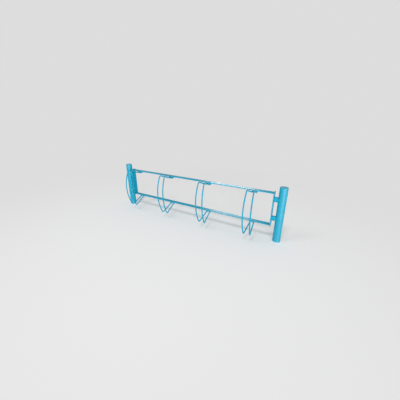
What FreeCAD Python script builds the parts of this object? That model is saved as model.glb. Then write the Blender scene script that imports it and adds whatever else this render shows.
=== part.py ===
import FreeCAD, Part
import math
import os
import Sketcher

# A street rack that holds four bicycles by the front wheel. Two round posts carry a frame of flat bar:
# an upper and a lower rail between two end plates. Four hoops hang in front of the rails, each of two
# bent round bars that a wheel rolls in between. Millimetres, +X along the rails, -Y towards the
# bicycles, +Z up. The origin lies on the ground, in the middle of the rack's outline.

SIZES = (
    ("post_spacing", 1591, "between the axes of the two posts"),
    ("post_height", 450, "from the ground to the top of the cap"),
    ("post_dia", 60.3, "outside of the post tube"),
    ("post_wall", 4.5, "wall of the post tube"),
    ("cap_thick", 3, "the cap's plate on top of the tube"),
    ("cap_edge", 1.5, "rounding of the cap's rim"),
    ("rail_width", 40, "flat bar, broad face up"),
    ("rail_thick", 6, "flat bar"),
    ("upper_rail", 397, "height of the upper rail's middle"),
    ("lower_rail", 132, "height of the lower rail's middle"),
    ("bar_edge", 0.8, "rolled edge of all flat bar"),
    ("plate_width", 50, "end plate, front to back"),
    ("plate_thick", 6, "end plate"),
    ("plate_corner", 3, "corner radius of the end plate"),
    ("plate_over", 6, "how far the end plate passes both rails"),
    ("plate_setback", 61.5, "from the post's axis to the middle of the end plate"),
    ("stub_dia", 40, "outside of the stub between post and end plate"),
    ("stub_bore", 28, "bore of the stub"),
    ("upper_stub", 347, "height of the upper stub's axis"),
    ("lower_stub", 191, "height of the lower stub's axis"),
    ("insert_length", 12, "threaded insert in the stub"),
    ("frame_screw_dia", 10, "thread of the screw that holds the end plate"),
    ("frame_screw_head", 20, "its countersunk head"),
    ("frame_screw_length", 25, "over all"),
    ("frame_screw_socket", 6, "hexagon socket, across flats"),
    ("hoop_screw_dia", 8, "thread of the screw that holds a hoop"),
    ("hoop_screw_head", 16, "its countersunk head"),
    ("hoop_screw_length", 16, "over all"),
    ("hoop_screw_socket", 5, "hexagon socket, across flats"),
    ("screw_rim", 0.4, "straight rim of a countersunk head"),
    ("screw_play", 1, "how much wider than the thread a screw's through hole is"),
    ("screw_tip", 1, "chamfer at the end of the thread"),
    ("socket_depth", 3.5, "depth of a screw's socket"),
    ("hoops", 4, "number of hoops"),
    ("first_hoop", -629, "X of the leftmost hoop's middle"),
    ("hoop_pitch", 406, "from one hoop to the next"),
    ("hoop_width", 60, "between the axes of a hoop's two bars, where they stand furthest forward"),
    ("hoop_neck", 28, "between the same axes, on the posts' line"),
    ("bar_dia", 10, "round bar of the hoops"),
    ("arc_radius", 376, "the bar's long arc, on its axis"),
    ("arc_bulge", 185, "from the posts' line forward to the arc's foremost point, on its axis"),
    ("arc_height", 252, "height of that point"),
    ("arc_rise", 178, "from that point up to the arc's upper corner"),
    ("arc_drop", 188, "from that point down to the arc's lower corner"),
    ("bend_reach", 14, "from the corner of a tight bend to where its curve begins"),
    ("neck_reach", 5, "the same for the slight bend at a rail"),
    ("upper_leg", 26, "along the bar, from the posts' line to the slight bend at the upper rail"),
    ("lower_leg", 15, "the same at the lower rail"),
    ("bar_end", 18, "along the bar, from the posts' line back to its ends"),
    ("mount_width", 46, "mounting plate between rail and bars, along the rail"),
    ("mount_depth", 40, "the same, front to back"),
    ("mount_thick", 6, "the same, height"),
    ("mount_corner", 3, "corner radius of the mounting plate"),
)
SIDES = {"left": -1, "right": 1}
LEVELS = ("upper", "lower")

doc = FreeCAD.newDocument("bike_rack")
sheet = doc.addObject("Spreadsheet::Sheet", "Sizes")
for row, (alias, value, meaning) in enumerate(SIZES, start=1):
    sheet.set(f"A{row}", alias)
    sheet.set(f"B{row}", str(value))
    sheet.set(f"C{row}", meaning)
    sheet.setAlias(f"B{row}", alias)
doc.recompute()


def size(alias):
    """The number in the sheet's cell of that name."""
    return float(sheet.get(alias))


# The posts stand behind the middle of the outline, because the hoops reach forward of them.
FRONT = size("arc_bulge") + size("bar_dia") / 2
POST_LINE = (FRONT - size("post_dia") / 2) / 2
INNER_FACE = size("post_spacing") / 2 - size("plate_setback") - size("plate_thick") / 2
# Each bar of a hoop is bent flat, and its plane turns outwards from the rails' normal by this angle.
SPLAY = math.atan((size("hoop_width") - size("hoop_neck")) / 2 / size("arc_bulge"))
HOOP_PLACES = [size("first_hoop") + i * size("hoop_pitch") for i in range(int(size("hoops")))]


def new_body(name):
    """A body whose name is also its file's name."""
    body = doc.addObject("PartDesign::Body", name)
    body.Label = name
    return body


def new_sketch(body, name, role):
    """A sketch on one of the body's own origin planes."""
    sketch = body.newObject("Sketcher::SketchObject", name)
    sketch.AttachmentSupport = ([f for f in body.Origin.OriginFeatures if f.Role == role][0], [""])
    sketch.MapMode = "FlatFace"
    return sketch


def constrain(sketch, kind, *where_and_expression):
    """Adds a constraint whose size follows an expression."""
    *where, expression = where_and_expression
    index = sketch.addConstraint(Sketcher.Constraint(kind, *where, 1.0))
    sketch.setExpression(f"Constraints[{index}]", expression)


def outline(sketch, corners):
    """A closed outline of straight lines, each corner placed by a pair of expressions."""
    count = len(corners)
    turn = 2 * math.pi / count
    start = [FreeCAD.Vector(math.cos(turn * i), math.sin(turn * i), 0) for i in range(count)]
    for i in range(count):
        sketch.addGeometry(Part.LineSegment(start[i], start[(i + 1) % count]))
    for i, (x, y) in enumerate(corners):
        sketch.addConstraint(Sketcher.Constraint("Coincident", i, 2, (i + 1) % count, 1))
        constrain(sketch, "DistanceX", -1, 1, i, 1, x)
        constrain(sketch, "DistanceY", -1, 1, i, 1, y)


def rectangle(sketch, low_x, high_x, low_y, high_y):
    """An upright rectangle between four expressions."""
    outline(sketch, [(low_x, low_y), (high_x, low_y), (high_x, high_y), (low_x, high_y)])


def circle(sketch, diameter, x="0", y="0"):
    """A circle whose diameter and centre follow expressions."""
    index = sketch.addGeometry(Part.Circle(FreeCAD.Vector(0, 0, 0), FreeCAD.Vector(0, 0, 1), 1.0))
    constrain(sketch, "Diameter", index, diameter)
    constrain(sketch, "DistanceX", -1, 1, index, 3, x)
    constrain(sketch, "DistanceY", -1, 1, index, 3, y)


def pad(body, sketch, length, midplane=False, reverse=False):
    """Material from a sketch, to a length given by an expression."""
    feature = body.newObject("PartDesign::Pad", f"{body.Name}_pad")
    feature.Profile = sketch
    feature.setExpression("Length", length)
    feature.Midplane = midplane
    feature.Reversed = reverse
    return feature


def pocket(body, sketch, length):
    """Removes a sketch's area below its plane, to a depth given by an expression."""
    feature = body.newObject("PartDesign::Pocket", f"{body.Name}_pocket")
    feature.Profile = sketch
    feature.setExpression("Length", length)
    return feature


def turned(body, sketch):
    """A solid of revolution about the sketch's upright axis."""
    feature = body.newObject("PartDesign::Revolution", f"{body.Name}_turned")
    feature.Profile = sketch
    feature.ReferenceAxis = (sketch, ["V_Axis"])
    feature.Angle = 360
    return feature


def rounded(body, base, radius, chosen):
    """Rounds the edges of a feature that the test in chosen picks."""
    doc.recompute()
    names = [f"Edge{i}" for i, edge in enumerate(base.Shape.Edges, start=1) if chosen(edge)]
    feature = body.newObject("PartDesign::Fillet", f"{body.Name}_rounded")
    feature.Base = (base, names)
    feature.setExpression("Radius", radius)
    return feature


def runs_along(edge, axis):
    """Whether an edge is a straight line along an axis."""
    return isinstance(edge.Curve, Part.Line) and edge.Curve.Direction.cross(axis).Length < ALIGNED


def countersunk(body, sketch, kind):
    """A hole for a kind of countersunk screw, from the sketch's plane through the body."""
    doc.recompute()
    feature = body.newObject("PartDesign::Hole", f"{body.Name}_hole")
    feature.Profile = sketch
    feature.ThreadType = "None"
    feature.DepthType = "ThroughAll"
    feature.setExpression("Diameter", f"Sizes.{kind}_dia + Sizes.screw_play")
    feature.HoleCutType = "Countersink"
    feature.HoleCutCustomValues = True
    feature.setExpression("HoleCutDiameter", f"Sizes.{kind}_head + 2 * Sizes.screw_rim")
    feature.HoleCutCountersinkAngle = 90
    return feature


X_AXIS = FreeCAD.Vector(1, 0, 0)
Y_AXIS = FreeCAD.Vector(0, 1, 0)
Z_AXIS = FreeCAD.Vector(0, 0, 1)
# An edge counts as along an axis when the sine of the angle between them is below this.
ALIGNED = 0.001
parts = []


def place(part, x, z, turn=0, axis=Z_AXIS):
    """Sets a part down on the posts' line and keeps it for the files."""
    part.Placement = FreeCAD.Placement(FreeCAD.Vector(x, POST_LINE, z), FreeCAD.Rotation(axis, turn))
    parts.append(part)


# Post: a plain round tube, cut square, with no foot. On site it goes over a ground spigot or into
# concrete.
for side, sign in SIDES.items():
    post = new_body(f"post_{side}")
    section = new_sketch(post, f"post_{side}_section", "XY_Plane")
    circle(section, "Sizes.post_dia")
    circle(section, "Sizes.post_dia - 2 * Sizes.post_wall")
    pad(post, section, "Sizes.post_height - Sizes.cap_thick")
    place(post, sign * size("post_spacing") / 2, 0)

# Cap: a flat disc with a rounded rim, welded onto the tube's upper end.
for side, sign in SIDES.items():
    cap = new_body(f"cap_{side}")
    profile = new_sketch(cap, f"cap_{side}_profile", "XZ_Plane")
    rectangle(profile, "0", "Sizes.post_dia / 2", "0", "Sizes.cap_thick")
    disc = turned(cap, profile)
    rounded(
        cap,
        disc,
        "Sizes.cap_edge",
        lambda edge: isinstance(edge.Curve, Part.Circle) and edge.CenterOfMass.z > size("cap_thick") / 2,
    )
    place(cap, sign * size("post_spacing") / 2, size("post_height") - size("cap_thick"))

# Rail: flat bar with rolled edges, its broad face up, welded between the end plates. Its frame has the
# origin in the middle of its top face, and a row of countersunk holes takes one screw for each hoop.
RAIL_LENGTH = "Sizes.post_spacing - 2 * Sizes.plate_setback - Sizes.plate_thick"
for level in LEVELS:
    rail = new_body(f"rail_{level}")
    section = new_sketch(rail, f"rail_{level}_section", "YZ_Plane")
    rectangle(section, "-Sizes.rail_width / 2", "Sizes.rail_width / 2", "-Sizes.rail_thick", "0")
    bar = pad(rail, section, RAIL_LENGTH, midplane=True)
    rounded(rail, bar, "Sizes.bar_edge", lambda edge: runs_along(edge, X_AXIS))
    spot = new_sketch(rail, f"rail_{level}_spot", "XY_Plane")
    circle(spot, "Sizes.hoop_screw_dia", x="Sizes.first_hoop")
    hole = countersunk(rail, spot, "hoop_screw")
    row_of_holes = rail.newObject("PartDesign::LinearPattern", f"rail_{level}_holes")
    row_of_holes.Originals = [hole]
    row_of_holes.Direction = ([f for f in rail.Origin.OriginFeatures if f.Role == "X_Axis"][0], [""])
    row_of_holes.setExpression("Length", "(Sizes.hoops - 1) * Sizes.hoop_pitch")
    row_of_holes.setExpression("Occurrences", "Sizes.hoops")
    rail.Tip = row_of_holes
    place(rail, 0, size(f"{level}_rail") + size("rail_thick") / 2)

# End plate: flat bar on end that closes the frame, with a countersunk hole opposite each stub. Its
# frame has the origin on its inner face, which looks along +X, at the height of the ground.
for side, sign in SIDES.items():
    plate = new_body(f"end_plate_{side}")
    face = new_sketch(plate, f"end_plate_{side}_face", "YZ_Plane")
    rectangle(
        face,
        "-Sizes.plate_width / 2",
        "Sizes.plate_width / 2",
        "Sizes.lower_rail - Sizes.rail_thick / 2 - Sizes.plate_over",
        "Sizes.upper_rail + Sizes.rail_thick / 2 + Sizes.plate_over",
    )
    slab = pad(plate, face, "Sizes.plate_thick", reverse=True)
    cornered = rounded(plate, slab, "Sizes.plate_corner", lambda edge: runs_along(edge, X_AXIS))
    rounded(plate, cornered, "Sizes.bar_edge", lambda edge: runs_along(edge, Z_AXIS))
    spots = new_sketch(plate, f"end_plate_{side}_spots", "YZ_Plane")
    for level in LEVELS:
        circle(spots, "Sizes.frame_screw_dia", y=f"Sizes.{level}_stub")
    countersunk(plate, spots, "frame_screw")
    turn = 180 if side == "right" else 0
    place(plate, sign * INNER_FACE, 0, turn)

# Stub: a short tube from the end plate to the post, its far end cut to the post's round. Its frame has
# the origin on the post's axis, and the stub runs from there along -X.
STUB_LENGTH = "Sizes.plate_setback - Sizes.plate_thick / 2"
for side, sign in SIDES.items():
    for level in LEVELS:
        stub = new_body(f"stub_{level}_{side}")
        section = new_sketch(stub, f"stub_{level}_{side}_section", "YZ_Plane")
        circle(section, "Sizes.stub_dia")
        circle(section, "Sizes.stub_bore")
        pad(stub, section, STUB_LENGTH, reverse=True)
        saddle = new_sketch(stub, f"stub_{level}_{side}_saddle", "XY_Plane")
        circle(saddle, "Sizes.post_dia")
        pocket(stub, saddle, "2 * Sizes.stub_dia").Midplane = True
        turn = 180 if side == "left" else 0
        place(stub, sign * size("post_spacing") / 2, size(f"{level}_stub"), turn)

# Insert: a ring pressed into the stub's mouth, with the thread for the frame screw.
for side, sign in SIDES.items():
    for level in LEVELS:
        insert = new_body(f"insert_{level}_{side}")
        section = new_sketch(insert, f"insert_{level}_{side}_section", "YZ_Plane")
        circle(section, "Sizes.stub_bore")
        circle(section, "Sizes.frame_screw_dia")
        pad(insert, section, "Sizes.insert_length")
        mouth = size("post_spacing") / 2 - size("plate_setback") + size("plate_thick") / 2
        turn = 180 if side == "left" else 0
        place(insert, sign * mouth, size(f"{level}_stub"), turn)


def screw(name, kind):
    """A countersunk screw with a hexagon socket, its flat top at the origin and its thread along -Z."""
    body = new_body(name)
    shank = f"Sizes.{kind}_dia / 2"
    head = f"Sizes.{kind}_head / 2"
    length = f"Sizes.{kind}_length"
    profile = new_sketch(body, f"{name}_profile", "XZ_Plane")
    outline(
        profile,
        [
            ("0", "0"),
            (head, "0"),
            (head, "-Sizes.screw_rim"),
            (shank, f"-(Sizes.screw_rim + {head} - {shank})"),
            (shank, f"-({length} - Sizes.screw_tip)"),
            (f"{shank} - Sizes.screw_tip", f"-{length}"),
            ("0", f"-{length}"),
        ],
    )
    turned(body, profile)
    hexagon = new_sketch(body, f"{name}_hexagon", "XY_Plane")
    corner = f"Sizes.{kind}_socket / sqrt(3)"
    outline(hexagon, [(f"{corner} * cos({60 * i} deg)", f"{corner} * sin({60 * i} deg)") for i in range(6)])
    pocket(body, hexagon, "Sizes.socket_depth")
    return body


# Frame screw: from inside the frame, through the end plate into the insert.
for side, sign in SIDES.items():
    for level in LEVELS:
        fastener = screw(f"frame_screw_{level}_{side}", "frame_screw")
        place(fastener, sign * INNER_FACE, size(f"{level}_stub"), turn=-90 * sign, axis=Y_AXIS)


def bend(before, corner, after, reach):
    """The arc that rounds a corner, from reach before it to reach after it, and its radius."""
    arriving = (corner - before).normalize()
    leaving = (after - corner).normalize()
    half_turn = arriving.getAngle(leaving) / 2
    radius = reach / math.tan(half_turn)
    inward = (leaving - arriving).normalize()
    middle = corner + inward * (radius / math.cos(half_turn) - radius)
    return Part.Arc(corner - arriving * reach, middle, corner + leaving * reach), radius


def bar_axis():
    """The axis of a hoop's bar in the plane X = 0, from its end under the upper rail to the lower one."""
    below_rail = size("rail_thick") / 2 + size("mount_thick") + size("bar_dia") / 2
    upper = size("upper_rail") - below_rail
    lower = size("lower_rail") - below_rail
    arc_radius = size("arc_radius")
    reach = size("bend_reach")
    centre = FreeCAD.Vector(0, arc_radius - size("arc_bulge") / math.cos(SPLAY), size("arc_height"))
    up = math.asin(size("arc_rise") / arc_radius) - reach / arc_radius
    down = reach / arc_radius - math.asin(size("arc_drop") / arc_radius)

    def on_arc(angle):
        return centre + FreeCAD.Vector(0, -math.cos(angle), math.sin(angle)) * arc_radius

    def past_arc(angle):
        tangent = FreeCAD.Vector(0, math.sin(angle), math.cos(angle))
        return on_arc(angle) + tangent * math.copysign(reach, angle)

    upper_end = FreeCAD.Vector(0, size("bar_end"), upper)
    upper_neck = FreeCAD.Vector(0, -size("upper_leg"), upper)
    lower_neck = FreeCAD.Vector(0, -size("lower_leg"), lower)
    lower_end = FreeCAD.Vector(0, size("bar_end"), lower)

    neck_1, neck_radius = bend(upper_end, upper_neck, past_arc(up), size("neck_reach"))
    corner_1, corner_radius = bend(upper_neck, past_arc(up), on_arc(up), reach)
    corner_2, low_radius = bend(on_arc(down), past_arc(down), lower_neck, reach)
    neck_2, low_neck_radius = bend(past_arc(down), lower_neck, lower_end, size("neck_reach"))
    curves = [
        Part.LineSegment(upper_end, neck_1.StartPoint),
        neck_1,
        Part.LineSegment(neck_1.EndPoint, corner_1.StartPoint),
        corner_1,
        Part.Arc(on_arc(up), on_arc(0), on_arc(down)),
        corner_2,
        Part.LineSegment(corner_2.EndPoint, neck_2.StartPoint),
        neck_2,
        Part.LineSegment(neck_2.EndPoint, lower_end),
    ]
    radii = (neck_radius, corner_radius, low_radius, low_neck_radius)
    return Part.Wire([curve.toShape() for curve in curves]), radii


# Hoop: two bent round bars side by side that hold a wheel between them. All eight bars are alike, and
# the two of a hoop turn away from each other towards the front.
axis, radii = bar_axis()
ring = Part.Circle(FreeCAD.Vector(axis.Vertexes[0].Point), Y_AXIS, size("bar_dia") / 2)
drawn = math.pi * size("bar_dia") ** 2 / 4 * axis.Length
print(f"bar: length {axis.Length:.1f}, bend radii", [round(r, 1) for r in radii])
for number, hoop_x in enumerate(HOOP_PLACES, start=1):
    for side, sign in SIDES.items():
        bar = doc.addObject("Part::Feature", f"hoop_{number}_{side}_bar")
        bar.Label = bar.Name
        bar.Shape = axis.makePipeShell([Part.Wire([ring.toShape()])], True, False)
        print(f"{bar.Label}: volume {bar.Shape.Volume:.0f}, section times length {drawn:.0f}")
        place(bar, hoop_x + sign * size("hoop_neck") / 2, 0, turn=sign * math.degrees(SPLAY))

# Mounting plate: lies under the rail with the two bars of a hoop welded to its underside, tapped for
# the hoop screw. Its frame has the origin in the middle of its top face.
for number, hoop_x in enumerate(HOOP_PLACES, start=1):
    for level in LEVELS:
        block = new_body(f"hoop_{number}_{level}_plate")
        face = new_sketch(block, f"hoop_{number}_{level}_plate_face", "XY_Plane")
        half_width = "Sizes.mount_width / 2"
        half_depth = "Sizes.mount_depth / 2"
        rectangle(face, f"-{half_width}", half_width, f"-{half_depth}", half_depth)
        slab = pad(block, face, "Sizes.mount_thick", reverse=True)
        rounded(block, slab, "Sizes.mount_corner", lambda edge: runs_along(edge, Z_AXIS))
        thread = new_sketch(block, f"hoop_{number}_{level}_plate_thread", "XY_Plane")
        circle(thread, "Sizes.hoop_screw_dia")
        pocket(block, thread, "Sizes.mount_thick")
        underside = size(f"{level}_rail") - size("rail_thick") / 2
        place(block, hoop_x, underside)

# Hoop screw: from above, through the rail into the mounting plate.
for number, hoop_x in enumerate(HOOP_PLACES, start=1):
    for level in LEVELS:
        fastener = screw(f"hoop_{number}_{level}_screw", "hoop_screw")
        place(fastener, hoop_x, size(f"{level}_rail") + size("rail_thick") / 2)

doc.recompute()
for item in doc.Objects:
    if "Invalid" in item.State or "Error" in item.State:
        raise RuntimeError(f"{item.Name} failed: {item.State}")
for part in parts:
    if part.Shape.isNull() or not part.Shape.isValid() or len(part.Shape.Solids) != 1:
        raise RuntimeError(f"{part.Label} isn't one valid solid")

os.makedirs("parts", exist_ok=True)
for part in parts:
    part.Shape.exportStep(f"parts/{part.Label}.step")
print(f"{len(parts)} parts, posts' line at Y {POST_LINE:.3f}")
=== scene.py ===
import math

import bpy
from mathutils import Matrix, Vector


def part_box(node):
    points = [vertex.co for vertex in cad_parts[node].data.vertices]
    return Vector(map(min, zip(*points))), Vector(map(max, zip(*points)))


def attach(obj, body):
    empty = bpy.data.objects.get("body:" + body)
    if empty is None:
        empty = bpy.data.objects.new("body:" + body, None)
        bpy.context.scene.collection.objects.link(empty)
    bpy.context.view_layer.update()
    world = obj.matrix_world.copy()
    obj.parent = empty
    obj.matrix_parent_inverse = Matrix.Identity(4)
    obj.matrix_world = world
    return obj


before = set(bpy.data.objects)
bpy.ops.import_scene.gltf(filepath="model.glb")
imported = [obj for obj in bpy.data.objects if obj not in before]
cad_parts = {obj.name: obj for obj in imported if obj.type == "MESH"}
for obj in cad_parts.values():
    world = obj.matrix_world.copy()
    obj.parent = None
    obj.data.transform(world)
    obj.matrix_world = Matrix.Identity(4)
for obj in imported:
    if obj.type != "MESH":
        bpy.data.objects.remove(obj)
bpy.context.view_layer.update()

# Camera: as the photograph was taken, from the right of the rack and from above, with a wide lens.
# Its place, its tilt below the horizon and its turn from the rails' normal were worked out from the
# proportions of the posts and the frame.
LENS = 18.76
SENSOR = 36
CAMERA_PLACE = (0.981, -1.4695, 0.930)
TILT_DOWN = math.radians(21.91)
TURN_LEFT = math.radians(29.92)
bpy.ops.object.camera_add(location=CAMERA_PLACE, rotation=(math.pi / 2 - TILT_DOWN, 0, TURN_LEFT))
camera = bpy.context.object
camera.data.sensor_width = SENSOR
camera.data.lens = LENS
bpy.context.scene.camera = camera

# Posts: two round steel tubes, galvanised, then powder coated in a clear light blue with a satin finish.
# The coat has the fine orange peel of baked powder and lies in a slightly uneven depth of colour. Rain
# splashes a trace of dust onto the lowest few centimetres.
SIDES = {"left": -1, "right": 1}
LEVELS = ("upper", "lower")
BLUE = (0.007, 0.355, 0.530, 1)
BLUE_THIN = (0.010, 0.395, 0.575, 1)
BLUE_WORN = (0.045, 0.450, 0.620, 1)
COAT_GLOSS = 0.22
COAT_ROUGHNESS = (0.17, 0.25)
POST_GLOSS = 0.4
POST_ROUGHNESS = (0.42, 0.50)
CLOUD_SCALE = 16
CLOUD_COLOUR_RANGE = (0.35, 0.65)
CLOUD_ROUGHNESS_RANGE = (0.3, 0.7)
WORN_ROUGHER = 0.12
DUST = (0.33, 0.36, 0.35, 1)
DUST_ON_TOP = 0.05
UPTURNED = 0.5
SPLASH_HEIGHT = 0.07
SPLASH_DUST = 0.08
SPECKLE_SCALE = 240
SPECKLE_RANGE = (0.4, 0.7)
SPECKLE_LEAST = 0.15
ZINC_DULL = (0.42, 0.44, 0.46, 1)
ZINC_BRIGHT = (0.66, 0.67, 0.68, 1)
ZINC_SCALE = 300
BARE_ROUGHER = 0.15
PEEL_SCALE = 460
PEEL_DEPTH = 0.00012
MIX_FIRST_COLOUR = 6
MIX_SECOND_COLOUR = 7
MIX_RESULT_COLOUR = 2


def add(nodes, kind, **settings):
    """A new shader node with some of its settings."""
    node = nodes.new("ShaderNode" + kind)
    for name, value in settings.items():
        setattr(node, name, value)
    return node


def feed(node, name, value):
    """Gives a node's input a number, a colour or another node's output."""
    if isinstance(value, bpy.types.NodeSocket):
        node.id_data.links.new(value, node.inputs[name])
    else:
        node.inputs[name].default_value = value


def noise(nodes, place, scale, detail):
    """A cloudy pattern, from 0 to 1."""
    node = add(nodes, "TexNoise")
    for name, value in (("Vector", place), ("Scale", scale), ("Detail", detail)):
        feed(node, name, value)
    return node.outputs["Fac"]


def spread(nodes, value, low, high, to_low=0, to_high=1):
    """Turns the range from low to high into another one, and stops at its ends."""
    node = add(nodes, "MapRange")
    for name, number in (("Value", value), ("From Min", low), ("From Max", high)):
        feed(node, name, number)
    feed(node, "To Min", to_low)
    feed(node, "To Max", to_high)
    return node.outputs["Result"]


def reckon(nodes, operation, *values):
    """A sum done by the shader."""
    node = add(nodes, "Math", operation=operation)
    for index, value in enumerate(values):
        feed(node, index, value)
    return node.outputs["Value"]


def blend(nodes, share, first, second):
    """The first colour, with a share of the second."""
    node = add(nodes, "Mix", data_type="RGBA")
    feed(node, "Factor", share)
    feed(node, MIX_FIRST_COLOUR, first)
    feed(node, MIX_SECOND_COLOUR, second)
    return node.outputs[MIX_RESULT_COLOUR]


def split(nodes, vector):
    """The X, Y and Z of a vector."""
    node = add(nodes, "SeparateXYZ")
    feed(node, "Vector", vector)
    return node.outputs


def new_material(name):
    """A new material, with its nodes and its shader."""
    material = bpy.data.materials.new(name)
    material.use_nodes = True
    nodes = material.node_tree.nodes
    return material, nodes, nodes["Principled BSDF"]


def powder_coat(name, dusty=None, worn=None, bare=None, gloss=COAT_GLOSS, satin=COAT_ROUGHNESS):
    """The rack's paint.

    The three functions say where it is dusty, worn thin or gone, from 0 to 1. Gloss is how strongly the
    paint mirrors, and satin is its least and its most roughness.
    """
    material, nodes, shader = new_material(name)
    place = add(nodes, "TexCoord").outputs["Object"]
    cloud = noise(nodes, place, CLOUD_SCALE, detail=3)
    colour = blend(nodes, spread(nodes, cloud, *CLOUD_COLOUR_RANGE), BLUE, BLUE_THIN)
    roughness = spread(nodes, cloud, *CLOUD_ROUGHNESS_RANGE, *satin)
    if worn:
        thin = worn(nodes, place)
        colour = blend(nodes, thin, colour, BLUE_WORN)
        roughness = reckon(nodes, "MULTIPLY_ADD", thin, WORN_ROUGHER, roughness)

    facing = split(nodes, add(nodes, "NewGeometry").outputs["Normal"])["Z"]
    dust = spread(nodes, facing, UPTURNED, 1, 0, DUST_ON_TOP)
    if dusty:
        dust = reckon(nodes, "ADD", dust, dusty(nodes, place))
    grain = noise(nodes, place, SPECKLE_SCALE, detail=4)
    dust = reckon(nodes, "MULTIPLY", dust, spread(nodes, grain, *SPECKLE_RANGE, SPECKLE_LEAST, 1))
    colour = blend(nodes, dust, colour, DUST)
    roughness = reckon(nodes, "ADD", roughness, dust)
    if bare:
        metal = bare(nodes, place)
        zinc = blend(nodes, noise(nodes, place, ZINC_SCALE, detail=3), ZINC_DULL, ZINC_BRIGHT)
        colour = blend(nodes, metal, colour, zinc)
        roughness = reckon(nodes, "MULTIPLY_ADD", metal, BARE_ROUGHER, roughness)
        feed(shader, "Metallic", metal)
    feed(shader, "Base Color", colour)
    feed(shader, "Roughness", roughness)

    peel = add(nodes, "Bump")
    feed(peel, "Height", noise(nodes, place, PEEL_SCALE, detail=1))
    feed(peel, "Distance", PEEL_DEPTH)
    feed(shader, "Normal", peel.outputs["Normal"])
    shader.inputs["Specular IOR Level"].default_value = gloss
    return material


def finish(piece, material):
    """Gives a piece its only material."""
    piece.data.materials.clear()
    piece.data.materials.append(material)


def middle(node_name):
    """The centre of a piece and its size."""
    low, high = (Vector(corner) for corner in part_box(node_name))
    return (low + high) / 2, high - low


def splashed(nodes, place):
    """Dust on the foot of a post, fading out upwards."""
    return spread(nodes, split(nodes, place)["Z"], SPLASH_HEIGHT, 0, 0, SPLASH_DUST)


post_paint = powder_coat("post_paint", dusty=splashed, gloss=POST_GLOSS, satin=POST_ROUGHNESS)
for side in SIDES:
    finish(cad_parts[f"post_{side}"], post_paint)

# Caps: flat discs with a rounded rim that close the posts. Each is welded on all round and the seam is
# ground down, so that under the paint only a low uneven ring is left of it. The coat is smoother than on
# the tubes, and thin on the rim.
CAP_RIM = 0.0016
RIM_PATCH_SCALE = 120
RIM_PATCH_RANGE = (0.4, 0.6)
RING_WIDTH = 0.0026
RING_SINK = 0.00095
RIPPLE_PITCH = 0.0020
RIPPLE_FLATNESS = 0.55
BEAD_VOXEL = 0.0006
BEAD_SMOOTHINGS = 2
post_middle, post_size = middle("post_right")
post_radius = post_size.x / 2


def length(nodes, vector):
    """How long a vector is."""
    node = add(nodes, "VectorMath", operation="LENGTH")
    feed(node, 0, vector)
    return node.outputs["Value"]


def reach(nodes, first, second):
    """How far off a point is, from its distances in two directions at a right angle."""
    flat = add(nodes, "CombineXYZ")
    feed(flat, "X", first)
    feed(flat, "Y", second)
    return length(nodes, flat.outputs["Vector"])


def patchy(nodes, share, place, scale, patch_range, detail=3):
    """Breaks a share up into irregular patches, with nothing between them."""
    patches = spread(nodes, noise(nodes, place, scale, detail), *patch_range)
    return reckon(nodes, "MULTIPLY", share, patches)


def thin_rim(nodes, place):
    """The rim of a cap, where hands and handlebars rub it."""
    axes = split(nodes, place)
    along = reckon(nodes, "SUBTRACT", reckon(nodes, "ABSOLUTE", axes["X"]), post_middle.x)
    across = reckon(nodes, "SUBTRACT", axes["Y"], post_middle.y)
    rim = spread(nodes, reach(nodes, along, across), post_radius - CAP_RIM, post_radius)
    return patchy(nodes, rim, place, RIM_PATCH_SCALE, RIM_PATCH_RANGE)


def ripple(width, place, thin_axis):
    """One ripple of a weld: a ball pressed flat along an axis, on its own in edit mode."""
    bpy.ops.object.select_all(action="DESELECT")
    bpy.ops.mesh.primitive_uv_sphere_add(segments=12, ring_count=8, radius=width / 2, location=(0, 0, 0))
    bead = bpy.context.object
    bpy.ops.object.mode_set(mode="EDIT")
    bpy.ops.mesh.select_all(action="SELECT")
    pressed = [RIPPLE_FLATNESS if axis == thin_axis else 1 for axis in "XYZ"]
    bpy.ops.transform.resize(value=pressed, center_override=(0, 0, 0))
    bpy.ops.transform.translate(value=place)
    return bead


def ring_bead(width, radius, axis):
    """Ripples all round the origin, about the X or the Z axis."""
    bead = ripple(width, (0, radius, 0), "X" if axis == "Z" else "Z")
    count = round(2 * math.pi * radius / RIPPLE_PITCH)
    about = (0, 0, 1) if axis == "Z" else (1, 0, 0)
    bpy.ops.mesh.spin(steps=count, dupli=True, angle=2 * math.pi, center=(0, 0, 0), axis=about)
    bpy.ops.object.mode_set(mode="OBJECT")
    return bead


def melt_together(bead):
    """Joins the ripples of a bead into one closed skin."""
    melt = bead.modifiers.new("melt", "REMESH")
    melt.mode = "VOXEL"
    melt.voxel_size = BEAD_VOXEL
    bpy.ops.object.modifier_apply(modifier=melt.name)
    soften = bead.modifiers.new("soften", "SMOOTH")
    soften.iterations = BEAD_SMOOTHINGS
    bpy.ops.object.modifier_apply(modifier=soften.name)
    bpy.ops.object.shade_smooth()


def settle(bead, name, place=(0, 0, 0)):
    """Names a finished bead, moves its mesh into place, paints it and fixes it to the rack."""
    bead.name = name
    bead.data.name = name
    bead.location = place
    bpy.ops.object.transform_apply(location=True, rotation=True, scale=True)
    finish(bead, frame_paint)
    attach(bead, "root")


cap_paint = powder_coat("cap_paint", worn=thin_rim)
frame_paint = powder_coat("frame_paint")
for side in SIDES:
    finish(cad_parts[f"cap_{side}"], cap_paint)
    cap_middle, cap_size = middle(f"cap_{side}")
    seam = ring_bead(RING_WIDTH, cap_size.x / 2 - RING_SINK, "Z")
    melt_together(seam)
    settle(seam, f"weld_cap_{side}", cap_middle - Vector((0, 0, cap_size.z / 2)))

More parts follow.
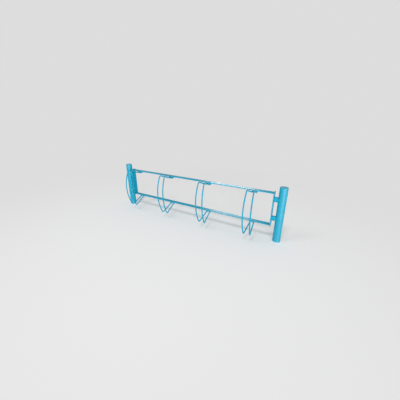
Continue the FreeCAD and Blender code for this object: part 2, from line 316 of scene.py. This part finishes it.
# Stubs: short thick tubes that hold the frame off the posts. Their ends are cut to the posts' round and
# welded to them all round, with a full bead that climbs over the saddle.
SADDLE_WIDTH = 0.0064
for side, sign in SIDES.items():
    for level in LEVELS:
        name = f"stub_{level}_{side}"
        finish(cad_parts[name], frame_paint)
        stub_middle, stub_size = middle(name)
        saddle = ring_bead(SADDLE_WIDTH, stub_size.z / 2, "X")
        for vertex in saddle.data.vertices:
            vertex.co.x -= sign * math.sqrt(post_radius**2 - vertex.co.y**2)
        melt_together(saddle)
        settle(saddle, f"weld_{name}", (sign * post_middle.x, post_middle.y, stub_middle.z))

# Inserts: threaded rings of zinc plated steel, pressed into the stubs behind the end plates, where the
# paint doesn't reach.
SPANGLE_RANGE = (0.3, 0.7)
ZINC_ROUGHNESS = (0.28, 0.42)
zinc, nodes, shader = new_material("zinc")
spangle = noise(nodes, add(nodes, "TexCoord").outputs["Object"], ZINC_SCALE, detail=3)
feed(shader, "Base Color", blend(nodes, spangle, ZINC_DULL, ZINC_BRIGHT))
feed(shader, "Roughness", spread(nodes, spangle, *SPANGLE_RANGE, *ZINC_ROUGHNESS))
shader.inputs["Metallic"].default_value = 1
for level in LEVELS:
    for side in SIDES:
        finish(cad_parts[f"insert_{level}_{side}"], zinc)

# End plates: upright flat bar with rounded corners, screwed to the stubs. The coat on flat bar has much
# less gloss than on the tubes, and is a little thinner over the long edges, which parked bicycles brush
# against.
FLAT_BAR_GLOSS = 0.04
EDGE_BAND = 0.0015
EDGE_PATCH_SCALE = 90
EDGE_PATCH_RANGE = (0.4, 0.65)


def thin_edges(half_width):
    """The long edges of a flat bar that lies along the posts' line, patchily worn."""

    def worn(nodes, place):
        across = reckon(nodes, "SUBTRACT", split(nodes, place)["Y"], post_middle.y)
        edge = spread(nodes, reckon(nodes, "ABSOLUTE", across), half_width - EDGE_BAND, half_width)
        return patchy(nodes, edge, place, EDGE_PATCH_SCALE, EDGE_PATCH_RANGE)

    return worn


plate_edges = thin_edges(middle("end_plate_left")[1].y / 2)
plate_paint = powder_coat("plate_paint", worn=plate_edges, gloss=FLAT_BAR_GLOSS)
for side in SIDES:
    finish(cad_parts[f"end_plate_{side}"], plate_paint)

# Frame screws: countersunk hexagon socket screws that were painted over with the frame. The key that
# tightened them has broken the paint in the sockets, and the zinc plating shows.
SOCKET_REACH = 0.0034
SOCKET_RIM = 0.0007
SOCKET_PATCH_SCALE = 700
SOCKET_PATCH_RANGE = (0.38, 0.5)
upper_screw = middle("frame_screw_upper_left")[0].z
lower_screw = middle("frame_screw_lower_left")[0].z


def keyed_socket(radius, from_screw):
    """Bare metal in a socket. The function from_screw gives two distances from the screw's axis."""

    def bare(nodes, place):
        off_axis = reach(nodes, *from_screw(nodes, split(nodes, place)))
        socket = spread(nodes, off_axis, radius + SOCKET_RIM, radius)
        return patchy(nodes, socket, place, SOCKET_PATCH_SCALE, SOCKET_PATCH_RANGE, detail=2)

    return bare


def from_frame_screw(nodes, axes):
    """Distances from the axis of the nearer frame screw, in Y and in Z."""
    half_gap = (upper_screw - lower_screw) / 2
    up = reckon(nodes, "WRAP", reckon(nodes, "SUBTRACT", axes["Z"], upper_screw), half_gap, -half_gap)
    return reckon(nodes, "SUBTRACT", axes["Y"], post_middle.y), up


frame_screw_paint = powder_coat("frame_screw_paint", bare=keyed_socket(SOCKET_REACH, from_frame_screw))
for level in LEVELS:
    for side in SIDES:
        finish(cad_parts[f"frame_screw_{level}_{side}"], frame_screw_paint)

# Rails: flat bar with rolled edges, set between the end plates and welded to them along the top and the
# underside of each end.
RAIL_BEAD_WIDTH = 0.0056
RAIL_BEAD_LENGTH = 0.036


def straight_bead(width, span):
    """A bead along the Y axis with its middle at the origin."""
    count = round(span / RIPPLE_PITCH)
    bead = ripple(width, (0, -RIPPLE_PITCH * (count - 1) / 2, 0), "Y")
    bpy.ops.object.mode_set(mode="OBJECT")
    row = bead.modifiers.new("row", "ARRAY")
    row.count = count
    row.use_relative_offset = False
    row.use_constant_offset = True
    row.constant_offset_displace = (0, RIPPLE_PITCH, 0)
    bpy.ops.object.modifier_apply(modifier=row.name)
    melt_together(bead)
    return bead


def joined(beads):
    """Several beads as one piece."""
    bpy.ops.object.select_all(action="DESELECT")
    for bead in beads:
        bead.select_set(True)
    bpy.context.view_layer.objects.active = beads[0]
    bpy.ops.object.transform_apply(location=True, rotation=True, scale=True)
    bpy.ops.object.join()
    return bpy.context.object


rail_edges = thin_edges(middle("rail_upper")[1].y / 2)
rail_paint = powder_coat("rail_paint", worn=rail_edges, gloss=FLAT_BAR_GLOSS)
for level in LEVELS:
    finish(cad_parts[f"rail_{level}"], rail_paint)
    rail_middle, rail_size = middle(f"rail_{level}")
    for side, sign in SIDES.items():
        beads = []
        for face in (-1, 1):
            bead = straight_bead(RAIL_BEAD_WIDTH, RAIL_BEAD_LENGTH)
            bead.location = rail_middle + Vector((sign * rail_size.x, 0, face * rail_size.z)) / 2
            beads.append(bead)
        settle(joined(beads), f"weld_rail_{level}_{side}")

# Mounting plates: small flat plates under the rails. The two bars of a hoop lie against the underside
# of each and are welded to it along both sides.
HOOPS = range(1, 5)
BAR_SPACING = 0.028
BAR_TURN = math.radians(4.94)
BAR_RADIUS = 0.005
BAR_BEAD_WIDTH = 0.0046
BAR_BEAD_LENGTH = 0.026
BAR_BEAD_BACK = 0.0035
for number in HOOPS:
    for level in LEVELS:
        name = f"hoop_{number}_{level}_plate"
        finish(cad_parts[name], frame_paint)
        plate_middle, plate_size = middle(name)
        beads = []
        for sign in SIDES.values():
            for flank in (-1, 1):
                bead = straight_bead(BAR_BEAD_WIDTH, BAR_BEAD_LENGTH)
                out = sign * BAR_SPACING / 2 + flank * BAR_RADIUS
                bead.rotation_euler.z = sign * BAR_TURN
                bead.location = plate_middle + Vector((out, BAR_BEAD_BACK, -plate_size.z / 2))
                beads.append(bead)
        settle(joined(beads), f"weld_{name}")

# Hoop bars: round steel bar, bent cold, with less gloss than the tubes. Tyres and spokes rub the inner
# sides of each pair, which leaves short pale scuffs across the paint from the height of the lower bend
# to that of the upper one.
ROUND_BAR_GLOSS = 0.08
SCUFF_LOW = 0.10
SCUFF_HIGH = 0.40
SCUFF_SHARE = 0.75
SCUFF_STRETCH = (60, 25, 190)
SCUFF_RANGE = (0.56, 0.66)
SCUFF_PATCH_SCALE = 22
SCUFF_PATCH_RANGE = (0.45, 0.6)
TURNED_IN_RANGE = (-0.45, -0.85)
first_hoop = middle("hoop_1_upper_plate")[0].x
hoop_pitch = middle("hoop_2_upper_plate")[0].x - first_hoop


def from_hoop(nodes, axes):
    """How far a point lies to the right of the middle of the nearest hoop."""
    right = reckon(nodes, "SUBTRACT", axes["X"], first_hoop)
    return reckon(nodes, "WRAP", right, hoop_pitch / 2, -hoop_pitch / 2)


def scuffed(nodes, place):
    """Scuffs on the sides of the bars that face the wheel."""
    axes = split(nodes, place)
    sign = reckon(nodes, "SIGN", from_hoop(nodes, axes))
    facing = split(nodes, add(nodes, "NewGeometry").outputs["Normal"])["X"]
    share = spread(nodes, reckon(nodes, "MULTIPLY", sign, facing), *TURNED_IN_RANGE)
    stretched = add(nodes, "Mapping")
    feed(stretched, "Vector", place)
    feed(stretched, "Scale", SCUFF_STRETCH)
    scratches = noise(nodes, stretched.outputs["Vector"], 1, detail=5)
    streaks = spread(nodes, scratches, *SCUFF_RANGE, 0, SCUFF_SHARE)
    high = reckon(nodes, "LESS_THAN", axes["Z"], SCUFF_HIGH)
    low = reckon(nodes, "GREATER_THAN", axes["Z"], SCUFF_LOW)
    for factor in (streaks, high, low):
        share = reckon(nodes, "MULTIPLY", share, factor)
    return patchy(nodes, share, place, SCUFF_PATCH_SCALE, SCUFF_PATCH_RANGE, detail=2)


bar_paint = powder_coat("bar_paint", worn=scuffed, gloss=ROUND_BAR_GLOSS)
for number in HOOPS:
    for side in SIDES:
        finish(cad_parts[f"hoop_{number}_{side}_bar"], bar_paint)

# Hoop screws: countersunk hexagon socket screws through the rails into the mounting plates, with the
# same broken paint in their sockets.
HOOP_SOCKET_REACH = 0.0028


def from_hoop_screw(nodes, axes):
    """Distances from the axis of the nearest hoop screw, in X and in Y."""
    return from_hoop(nodes, axes), reckon(nodes, "SUBTRACT", axes["Y"], post_middle.y)


hoop_screw_paint = powder_coat("hoop_screw_paint", bare=keyed_socket(HOOP_SOCKET_REACH, from_hoop_screw))
for number in HOOPS:
    for level in LEVELS:
        finish(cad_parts[f"hoop_{number}_{level}_screw"], hoop_screw_paint)

# Floor and background: one pale sheet. Round the rack it is a matt floor that takes light and shadow,
# and further out it passes into the plain tone of the background.
WHITE = (1, 1, 1, 1)
BACKDROP = (0.725, 0.725, 0.725, 1)
FLOOR_TONE = (0.93, 0.93, 0.93, 1)
FLOOR_ROUGHNESS = 0.9
FLOOR_GLOSS = 0.1
FLOOR_LIFT = 0.102
FLOOR_RADIUS = 60
FADE_START = 0.5
FADE_END = 2.8


def seen(nodes):
    """1 for what is looked at, also in a reflection or through glass, and 0 for light on a surface."""
    path = add(nodes, "LightPath").outputs
    looked_at = reckon(nodes, "MAXIMUM", path["Is Camera Ray"], path["Is Glossy Ray"])
    return reckon(nodes, "MAXIMUM", looked_at, path["Is Transmission Ray"])


def blend_shaders(nodes, share, first, second):
    """The first shader's look, with a share of the second's."""
    node = add(nodes, "MixShader")
    for slot, value in enumerate((share, first, second)):
        feed(node, slot, value)
    return node.outputs["Shader"]


bpy.ops.object.select_all(action="DESELECT")
bpy.ops.mesh.primitive_circle_add(vertices=128, radius=FLOOR_RADIUS, fill_type="NGON", location=(0, 0, 0))
floor = bpy.context.object
floor.name = "floor"
sheet, nodes, matt = new_material("floor")
matt.inputs["Base Color"].default_value = FLOOR_TONE
matt.inputs["Roughness"].default_value = FLOOR_ROUGHNESS
matt.inputs["Specular IOR Level"].default_value = FLOOR_GLOSS
matt.inputs["Emission Color"].default_value = WHITE
feed(matt, "Emission Strength", reckon(nodes, "MULTIPLY", seen(nodes), FLOOR_LIFT))
fade = add(nodes, "MapRange", interpolation_type="SMOOTHSTEP")
feed(fade, "Value", length(nodes, add(nodes, "TexCoord").outputs["Object"]))
feed(fade, "From Min", FADE_START)
feed(fade, "From Max", FADE_END)
glow = add(nodes, "Emission")
feed(glow, "Color", BACKDROP)
far_off = reckon(nodes, "MULTIPLY", fade.outputs["Result"], seen(nodes))
passing = blend_shaders(nodes, far_off, matt.outputs["BSDF"], glow.outputs["Emission"])
feed(nodes["Material Output"], "Surface", passing)
floor.data.materials.append(sheet)

# Light: an even studio surround that the floor throws back, two soft lamps at the front whose faint
# shadows lie on the floor, and a low broad one at the right that nothing mirrors. Two more show only as
# reflections: a strip in the posts, and a panel behind the rack in its rails and the backs of its posts.
SURROUND = 0.42
LAMP_AIM = Vector((0, 0.08, 0.2))
LAMP_DISTANCE = 10
PANEL_PLACE = (-1.10, 4.0, 2.3)
TO_THE_FRONT = (math.pi / 2, 0, math.pi)
world = bpy.data.worlds.new("studio")
bpy.context.scene.world = world
world.use_nodes = True
nodes = world.node_tree.nodes
surround = nodes["Background"]
surround.inputs["Color"].default_value = WHITE
surround.inputs["Strength"].default_value = SURROUND
shown = add(nodes, "Background")
feed(shown, "Color", BACKDROP)
sky = blend_shaders(nodes, seen(nodes), surround.outputs["Background"], shown.outputs["Background"])
feed(nodes["World Output"], "Surface", sky)


def softbox(name, place, width, height, power):
    """A rectangular lamp that looks at the rack."""
    bpy.ops.object.light_add(type="AREA", location=place)
    lamp = bpy.context.object
    lamp.name = name
    lamp.data.shape = "RECTANGLE"
    lamp.data.size = width
    lamp.data.size_y = height
    lamp.data.energy = power
    lamp.rotation_euler = (Vector(place) - LAMP_AIM).to_track_quat("Z", "Y").to_euler()
    return lamp


def away(azimuth, elevation):
    """A lamp's place, from its azimuth, which counts anticlockwise from +X, and its elevation."""
    turn = math.radians(azimuth)
    rise = math.radians(elevation)
    along = Vector((math.cos(turn) * math.cos(rise), math.sin(turn) * math.cos(rise), math.sin(rise)))
    return along * LAMP_DISTANCE + LAMP_AIM


def show_only_in(lamp, names):
    """Leaves nothing of a lamp but its reflection in these pieces."""
    lamp.visible_diffuse = False
    pieces = bpy.data.collections.new(lamp.name)
    for name in names:
        pieces.objects.link(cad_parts[name])
    lamp.light_linking.receiver_collection = pieces


softbox("key", away(azimuth=277, elevation=61), width=1.5, height=1.5, power=165)
softbox("front_left", away(azimuth=227, elevation=48), width=2.6, height=2.6, power=95)
low_right = softbox("low_right", away(azimuth=305, elevation=9), width=5, height=2.6, power=580)
low_right.visible_glossy = False
posts = [f"post_{side}" for side in SIDES]
rails = [f"rail_{level}" for level in LEVELS]
strip = softbox("post_strip", away(azimuth=313, elevation=9), width=0.8, height=2.6, power=3000)
show_only_in(strip, posts)
panel = softbox("back_panel", PANEL_PLACE, width=1.45, height=1.2, power=80)
panel.rotation_euler = TO_THE_FRONT
show_only_in(panel, posts + rails)

bpy.context.scene.view_settings.view_transform = "Standard"
